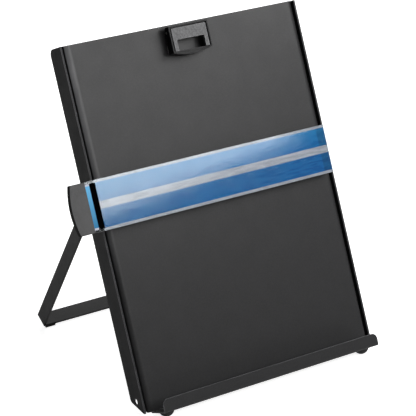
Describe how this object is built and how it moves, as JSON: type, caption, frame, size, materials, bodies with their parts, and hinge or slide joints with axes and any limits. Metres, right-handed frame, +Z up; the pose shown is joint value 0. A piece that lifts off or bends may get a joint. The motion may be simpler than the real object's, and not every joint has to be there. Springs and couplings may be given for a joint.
{
  "type": "copy holder with line guide",
  "caption": "Desk copy holder: a leaning black steel panel on a folding easel, with a paper ledge, a spring clip and a clear blue line guide that slides up and down one rail.",
  "frame": {"origin": "on the desk plane under the feet, midway across and midway front to back of the whole open holder", "axes": "+Z up, +X to the reader's right, -Y towards the reader; the panel leans back towards +Y and the easel stands behind it"},
  "size_m": [0.2574, 0.1998, 0.2741],
  "materials": {
    "powder_coat": "satin black powder coat on sheet steel",
    "foot_rubber": "matt black rubber",
    "black_plastic": "satin black moulded plastic",
    "grey_plastic": "fine-textured dark grey plastic",
    "nylon": "natural nylon",
    "zinc_steel": "bright zinc plate",
    "felt": "grey wool felt",
    "clear_acrylic": "clear polished acrylic",
    "printed_film": "translucent blue film with a white centre stripe and white edges",
    "end_print": "blue printed film with white ends"
  },
  "bodies": {
    "panel": {"front_panel": "powder_coat", "side_rail_left": "powder_coat", "side_rail_right": "powder_coat", "paper_ledge": "powder_coat", "front_feet": "foot_rubber", "clip_base": "black_plastic", "clip_pin": "zinc_steel", "clip_spring": "zinc_steel", "clip_screws": "zinc_steel", "pivot_studs": "zinc_steel", "friction_washers": "nylon", "retaining_caps": "zinc_steel", "stop_pins": "zinc_steel"},
    "guide": {"slider_carriage": "black_plastic", "thumb_grip": "black_plastic", "grip_screws": "zinc_steel", "brake_shoe": "felt", "leaf_spring": "zinc_steel", "guide_bar": "clear_acrylic", "guide_film": "printed_film", "end_film": "end_print"},
    "clip": {"clip_jaw": "black_plastic", "clip_face_plate": "grey_plastic", "jaw_pad": "foot_rubber"},
    "easel": {"easel_frame": "powder_coat", "easel_feet": "foot_rubber"}
  },
  "joints": [
    {"name": "guide_slide", "type": "slide", "parent": "panel", "child": "guide", "axis": [0, 0.4463, 0.8949], "range_m": [-0.135, 0.08]},
    {"name": "easel_fold", "type": "hinge", "parent": "panel", "child": "easel", "pos_m": [0.0137, 0.00786, 0.15916], "axis": [1, 0, 0], "range_deg": [-55.6, 0]},
    {"name": "clip_open", "type": "hinge", "parent": "panel", "child": "clip", "pos_m": [0.0137, 0.04545, 0.26725], "axis": [1, 0, 0], "range_deg": [-25, 0], "stiffness_Nm_per_rad": 0.1, "springref_deg": 20.05}
  ]
}
